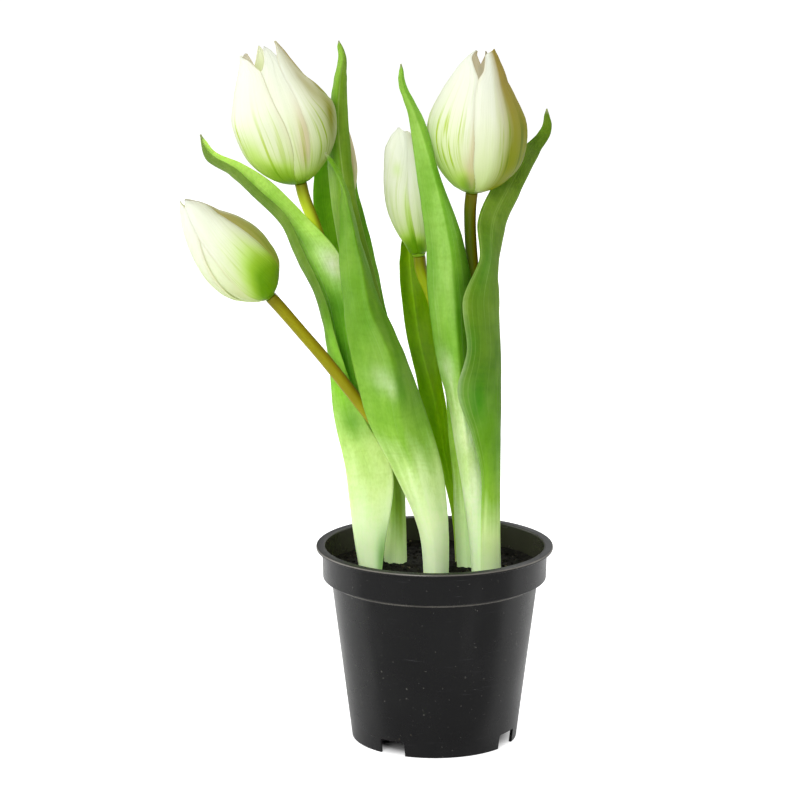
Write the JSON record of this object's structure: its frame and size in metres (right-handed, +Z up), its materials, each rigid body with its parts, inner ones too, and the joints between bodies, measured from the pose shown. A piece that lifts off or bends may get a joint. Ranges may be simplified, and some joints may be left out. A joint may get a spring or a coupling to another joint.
{
  "type": "potted tulip",
  "caption": "Potted tulip plant: several upright shoots with white-green cup-shaped flowers and long strap leaves, growing from soil in a round tapered plastic nursery pot.",
  "frame": {"origin": "middle of the pot's underside, on the ground", "axes": "+Z up along the pot; -Y towards the front of the plant, where its full group of flowers is seen; +X to the right seen from the front"},
  "size_m": [0.1853, 0.12, 0.3553],
  "materials": {
    "pot": "satin black plastic",
    "soil": "dark moist peat",
    "bulb": "papery brown skin",
    "stem": "smooth green stem",
    "petal": "soft satin petal",
    "leaf": "smooth waxy leaf",
    "leaf_grey": "waxy grey-green leaf",
    "leaf_dark": "smooth dark leaf",
    "leaf_olive": "smooth olive leaf"
  },
  "bodies": {
    "root": {"pot": "pot", "soil": "soil", "bulb_top_left": "bulb", "bulb_low_left": "bulb", "bulb_centre": "bulb", "bulb_top_right": "bulb", "bulb_back_left": "bulb", "stem_top_left": "stem", "stem_low_left": "stem", "stem_centre": "stem", "stem_top_right": "stem", "stem_back_left": "stem", "bloom_top_left": "petal", "bloom_low_left": "petal", "bloom_centre": "petal", "bloom_top_right": "petal", "bloom_back_left": "petal", "leaf_left": "leaf", "leaf_tall": "leaf_grey", "leaf_back": "leaf_dark", "leaf_front": "leaf", "leaf_right": "leaf", "leaf_waved": "leaf_grey", "leaf_olive": "leaf_olive", "leaf_small": "leaf_dark"}
  },
  "joints": []
}
